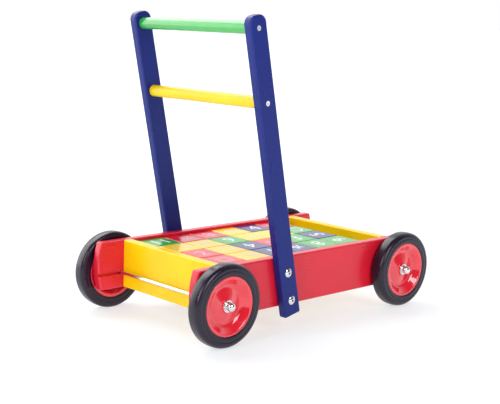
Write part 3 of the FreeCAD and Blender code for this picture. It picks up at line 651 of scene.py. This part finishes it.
def wheel_centre_profile():
    """A wheel centre's section, from the bore round the inner face to the outer face. The web
    rises to the boss as a shallow cone, and its foot runs into the wall in a round hollow."""
    # radii
    bore, boss, hollow, wall = 0.00255, 0.0096, 0.0270, 0.0310
    back_corner, back_edge, mouth, seat, lip = 0.0330, 0.0375, 0.0391, 0.0408, 0.0427
    # distances from the side panel: the boss's inner end, the back of the web, both edges
    start, back, inner, rim = 0.0018, 0.0110, 0.004, 0.025
    # depths under the outer edge: the boss's outer end, and the web at its boss and its foot
    face, web_top, web_foot = rim - 0.0048, rim - 0.0063, rim - 0.0105
    lip_width = 0.0018
    return np.array([
        (bore, start), (boss, start), (boss, back), (back_corner, back), (back_edge, inner),
        (lip, inner), (lip, inner + lip_width), (seat, inner + lip_width),
        (seat, rim - lip_width), (lip, rim - lip_width), (lip, rim), (mouth, rim),
        (wall, rim - 0.0085), (hollow, web_foot), (boss, web_top), (boss, face),
        (bore, face)])


def washer_profile(corner):
    """An outer washer's section: a rectangle with its corners rounded."""
    end = WASHER_START + WASHER_THICKNESS
    return softened([(WASHER_HOLE, WASHER_START), (WASHER_RADIUS, WASHER_START),
                     (WASHER_RADIUS, end), (WASHER_HOLE, end)], corner, steps=5)


def cap_profile(corner):
    """An axle cap's section: a flange, a narrower neck, and a dome that is a quarter of an
    ellipse."""
    base = WASHER_START + WASHER_THICKNESS
    flange, neck_start, neck_end, flare = 0.0008, 0.0012, 0.0044, 0.0058
    skirt = softened([(0.0, base), (CAP_RADIUS, base), (CAP_RADIUS, base + flange),
                      (CAP_NECK, base + neck_start), (CAP_NECK, base + neck_end),
                      (CAP_RADIUS, base + flare)], corner, steps=5, closed=False)
    t = np.linspace(0, np.pi / 2, 15)
    dome = np.stack([CAP_RADIUS * np.cos(t), base + CAP_SKIRT + CAP_DOME * np.sin(t)], axis=1)
    dome[-1, 0] = 0.0
    return np.concatenate([skirt, dome])


# ---------------------------------------------------------------- stage

def lay_floor(context, glow):
    """A round floor far larger than the view, made of rings of points round the walker."""
    t = np.linspace(0, 2 * np.pi, 97)[:-1]
    r = np.array(FLOOR_RINGS)[:, None]
    points = np.stack(np.broadcast_arrays(r * np.cos(t), r * np.sin(t), 0.0), axis=-1)
    faces = grid_faces(len(r), len(t), wrap_rows=False, wrap_columns=True)[:, ::-1]
    mesh = make_mesh("studio_floor", points.reshape(-1, 3), faces, merge=1e-6)
    if mesh.polygons[0].normal.z < 0:  # an open sheet has no outside, so either way can come
        mesh.flip_normals()
    mesh.materials.append(pale_floor("Pale studio floor", glow))
    floor = bpy.data.objects.new("studio_floor", mesh)
    context.scene.collection.objects.link(floor)


def set_surround(context, near, far):
    """A white background for the camera. All other rays meet surroundings that grow brighter
    from behind the camera to beyond the walker."""
    world = context.scene.world or bpy.data.worlds.new("Studio")
    context.scene.world = world
    world.use_nodes = True
    nodes, links = world.node_tree.nodes, world.node_tree.links
    nodes.clear()
    output = nodes.new("ShaderNodeOutputWorld")
    shown, around = nodes.new("ShaderNodeBackground"), nodes.new("ShaderNodeBackground")
    choice, path = nodes.new("ShaderNodeMixShader"), nodes.new("ShaderNodeLightPath")
    direction, along = nodes.new("ShaderNodeTexCoord"), nodes.new("ShaderNodeVectorMath")
    shown.inputs[0].default_value = (1, 1, 1, 1)
    around.inputs[0].default_value = (1.0, 0.995, 1.0, 1)
    along.operation = "DOT_PRODUCT"
    along.inputs[1].default_value = BACKDROP_DIRECTION
    strength = nodes.new("ShaderNodeMapRange")
    strength.interpolation_type = "SMOOTHSTEP"
    for number, value in enumerate((*BACKDROP_RANGE, near, far), start=1):
        strength.inputs[number].default_value = value
    links.new(direction.outputs["Generated"], along.inputs[0])
    links.new(along.outputs["Value"], strength.inputs[0])
    links.new(strength.outputs[0], around.inputs[1])
    links.new(path.outputs["Is Camera Ray"], choice.inputs[0])
    links.new(around.outputs[0], choice.inputs[1])
    links.new(shown.outputs[0], choice.inputs[2])
    links.new(choice.outputs[0], output.inputs[0])


def hang_soft_box(context, name, energy, size, place, aim):
    """A square soft box that the camera can't see, turned to what it lights."""
    light = bpy.data.lights.new(name, "AREA")
    light.energy, light.size, light.shape = energy, size, "SQUARE"
    lamp = bpy.data.objects.new(name, light)
    lamp.location = place
    lamp.visible_camera = False
    lamp.rotation_euler = (Vector(aim) - Vector(place)).to_track_quat("-Z", "Y").to_euler()
    context.scene.collection.objects.link(lamp)


def stand_camera(context, lens, roll):
    """The camera, looking from its place to its aim and rolled a little about that line."""
    camera = bpy.data.cameras.new("Camera")
    camera.lens, camera.sensor_width, camera.clip_end = lens, SENSOR_WIDTH, 200.0
    forward = (CAMERA_AIM - CAMERA_PLACE).normalized()
    right = forward.cross(Vector((0, 0, 1))).normalized()
    up = right.cross(forward)
    right = math.cos(roll) * right + math.sin(roll) * up
    up = right.cross(forward)
    turn = Matrix((right, up, -forward)).transposed().to_4x4()
    stand = bpy.data.objects.new("Camera", camera)
    stand.matrix_world = Matrix.Translation(CAMERA_PLACE) @ turn
    context.scene.collection.objects.link(stand)
    context.scene.camera = stand
    context.scene.view_settings.view_transform = "Standard"


# ---------------------------------------------------------------- operators

class WALKER_OT_tray(bpy.types.Operator):
    """Paint the side and end panels, and finish the tray floor"""
    bl_idname = "walker.tray"
    bl_label = "Tray"

    def execute(self, context):
        colours = context.scene.walker_colours
        give(lacquered_wood("Red gloss panels", colours.red_wood, grain=(1, 7, 7)),
             "side_panel_left", "side_panel_right")
        give(lacquered_wood("Yellow gloss panels", colours.yellow_wood, grain=(7, 1, 7),
                            specular=0.22, coat=0.08),
             "front_end_panel", "rear_end_panel")
        give(bare_wood("Tray floor ply", colours.bare_wood), "tray_floor")
        give(bare_wood("Dowel beech", colours.bare_wood), "corner_dowels")
        return {"FINISHED"}


class WALKER_OT_frame(bpy.types.Operator):
    """Paint the uprights, and turn the handle bar and the cross bar"""
    bl_idname = "walker.frame"
    bl_label = "Uprights and bars"

    def execute(self, context):
        colours = context.scene.walker_colours
        give(lacquered_wood("Blue satin uprights", colours.blue_wood, grain=(7, 7, 1), lean=LEAN,
                            gloss=0.28, specular=0.22, coat=0.05), "upright_left", "upright_right")
        for node, slot, name, shine in (("handle_bar", "green_wood", "Green gloss bar", 0.75),
                                        ("cross_bar", "yellow_wood", "Yellow gloss bar", 0.25)):
            low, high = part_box(node)
            middle = (np.array(low) + np.array(high)) / 2
            profile = bar_profile((high.y - low.y) / 2, (high.z - low.z) / 2)
            paint = lacquered_wood(name, getattr(colours, slot), grain=(6, 1, 6), gloss=0.28,
                                   specular=shine, coat=0.4 * shine)
            shape = turned(profile, middle, side=1, around=72, closed=False)
            bar = make_piece(node + "_turned", *shape, paint, "chassis", slot)
            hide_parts(node)
        return {"FINISHED"}


class WALKER_OT_tyres(bpy.types.Operator):
    """Mould the four rubber tyres"""
    bl_idname = "walker.tyres"
    bl_label = "Tyres"

    def execute(self, context):
        sizes = context.scene.walker_sizes
        rubber = tyre_rubber("Black tyre rubber", context.scene.walker_colours.rubber)
        for end, side in WHEELS:
            low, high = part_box(f"tyre_{end}_{side}")
            middle = wheel_middle(end, side)
            near, far = sorted((abs(low.y - middle[1]), abs(high.y - middle[1])))
            profile = tyre_profile((high.z - low.z) / 2, near, far, sizes.wall_ring,
                                   sizes.parting_line)
            tyre = make_piece(f"tyre_{end}_{side}_moulded",
                              *turned(profile, middle, SIDES[side], around=160), rubber,
                              f"wheel_{end}_{side}", "tyre_rubber", from_axle(middle))
            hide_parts(f"tyre_{end}_{side}")
        return {"FINISHED"}


class WALKER_OT_wheel_centres(bpy.types.Operator):
    """Mould the four dished wheel centres"""
    bl_idname = "walker.wheel_centres"
    bl_label = "Wheel centres"

    def execute(self, context):
        plastic = moulded_plastic("Red moulded plastic", context.scene.walker_colours.red_plastic)
        profile = softened(wheel_centre_profile(), context.scene.walker_sizes.soft_corner)
        for end, side in WHEELS:
            middle = wheel_middle(end, side)
            centre = make_piece(f"wheel_centre_{end}_{side}",
                                *turned(profile, middle, SIDES[side], around=144), plastic,
                                f"wheel_{end}_{side}", "red_plastic", from_axle(middle))
            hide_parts(f"hub_{end}_{side}")
        return {"FINISHED"}


class WALKER_OT_metalwork(bpy.types.Operator):
    """Finish the axles, bolts and screws, and turn the washers and the axle caps"""
    bl_idname = "walker.metalwork"
    bl_label = "Metalwork"

    def execute(self, context):
        steel = context.scene.walker_colours.steel
        corner = context.scene.walker_sizes.metal_corner
        give(bright_steel("Bright drawn steel", steel), "front_axle", "rear_axle",
             "threaded_inserts", "inner_washers")
        give(bright_steel("Plated fastener steel", steel), "upright_bolts", "bar_screws")
        plate = bright_steel("Turned bright steel", steel, turned_marks=True)
        for name, profile, around, closed, node in (
                ("washers_turned", washer_profile(corner), 96, True, "outer_washers"),
                ("axle_caps_domed", cap_profile(corner), 72, False, "axle_caps")):
            parts = [turned(profile, wheel_middle(end, side), SIDES[side], around, closed)
                     for end, side in WHEELS]
            made = make_piece(name, *joined(parts), plate, "chassis", "steel",
                              from_nearer_axle(wheel_middle("front", "left")))
            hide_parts(node)
        return {"FINISHED"}


class WALKER_OT_cubes(bpy.types.Operator):
    """Round the building cubes, paint them, and print their marks"""
    bl_idname = "walker.cubes"
    bl_label = "Building cubes"

    def execute(self, context):
        colours, sizes = context.scene.walker_colours, context.scene.walker_sizes
        paints = {slot: lacquered_wood(slot.split("_")[0].capitalize() + " gloss cubes",
                                       getattr(colours, slot), grain=grain, gloss=0.22)
                  for slot, (_, grain) in CUBE_PAINTS.items()}
        inks = {ink: printed_ink(ink.capitalize() + " ink", getattr(colours, ink))
                for ink in ("white", "grey", "lilac")}
        drawn = [(band_mark if kind in SHAPES else numeral_mark)(kind, sizes.mark_height,
                                                                 sizes.ink_thickness)
                 for kind in KINDS]
        for row, marks in enumerate(MARKS):
            for column, mark in enumerate(marks):
                node = f"block_row{row + 1}_column{column + 1}"
                slot, body = SLOTS[node], node + "_body"
                low, high = (np.array(corner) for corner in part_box(node))
                cube = make_piece(node + "_painted", *rounded_block(low, high, sizes.cube_edge),
                                  paints[slot], body, slot, crease=60)
                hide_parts(node)
                middle, half = (low + high) / 2, (high - low) / 2
                parts = []
                for out, up, further in PRINTED_FACES:
                    shape = drawn[(KINDS.index(mark) + further) % len(KINDS)]
                    turn = (row + 2 * column) % 4 if out[2] else 0
                    parts.append(on_face(shape, middle + np.array(out) * half, out, up, turn))
                make_piece(node + "_printed", *joined(parts), inks[CUBE_PAINTS[slot][0]], body,
                           slot, crease=30)
        return {"FINISHED"}


class WALKER_OT_stage(bpy.types.Operator):
    """Lay the pale floor, and set the soft lights and the camera"""
    bl_idname = "walker.stage"
    bl_label = "Stage"

    def execute(self, context):
        settings = context.scene.walker_stage
        lay_floor(context, settings.glow)
        set_surround(context, settings.near_surround, settings.far_surround)
        for name, energy, size, place, aim in (
                ("Overhead soft box", settings.overhead, 1.8, (0.1, 1.5, 2.1), (0, 0, 0.1)),
                ("Rear soft box", settings.rear, 1.3, (-2.2, -0.5, 1.2), (0, 0, 0.1)),
                ("Side soft box", settings.side, 1.2, (-0.2, -2.3, 1.3), (0, 0, 0.1)),
                ("Far soft box", settings.far, 1.9, (-1.3, 2.2, 1.0), (0, 0, 0.3))):
            hang_soft_box(context, name, energy, size, place, aim)
        stand_camera(context, settings.lens, settings.roll)
        return {"FINISHED"}


OPERATORS = (WALKER_OT_tray, WALKER_OT_frame, WALKER_OT_tyres, WALKER_OT_wheel_centres,
             WALKER_OT_metalwork, WALKER_OT_cubes, WALKER_OT_stage)


class WALKER_PT_workshop(bpy.types.Panel):
    """The walker's pieces and settings"""
    bl_idname = "WALKER_PT_workshop"
    bl_label = "Walker"
    bl_space_type = "VIEW_3D"
    bl_region_type = "UI"
    bl_category = "Walker"

    def draw(self, context):
        for operator in OPERATORS:
            self.layout.operator(operator.bl_idname)
        for name in ("walker_colours", "walker_sizes", "walker_stage"):
            group = getattr(context.scene, name)
            box = self.layout.box()
            for key in group.__annotations__:
                box.prop(group, key)


GROUPS = {"walker_colours": WalkerColours, "walker_sizes": WalkerSizes,
          "walker_stage": StageSettings}


def register():
    """Adds the settings, the operators and the panel to Blender."""
    for kind in (*GROUPS.values(), *OPERATORS, WALKER_PT_workshop):
        bpy.utils.register_class(kind)
    for name, group in GROUPS.items():
        setattr(bpy.types.Scene, name, bpy.props.PointerProperty(type=group))


def unregister():
    """Takes them away again."""
    for name in GROUPS:
        delattr(bpy.types.Scene, name)
    for kind in reversed((*GROUPS.values(), *OPERATORS, WALKER_PT_workshop)):
        bpy.utils.unregister_class(kind)


def main():
    """Builds the whole walker on its stage."""
    register()
    bpy.ops.walker.tray()
    bpy.ops.walker.frame()
    bpy.ops.walker.tyres()
    bpy.ops.walker.wheel_centres()
    bpy.ops.walker.metalwork()
    bpy.ops.walker.cubes()
    bpy.ops.walker.stage()


if __name__ == "__main__":
    main()
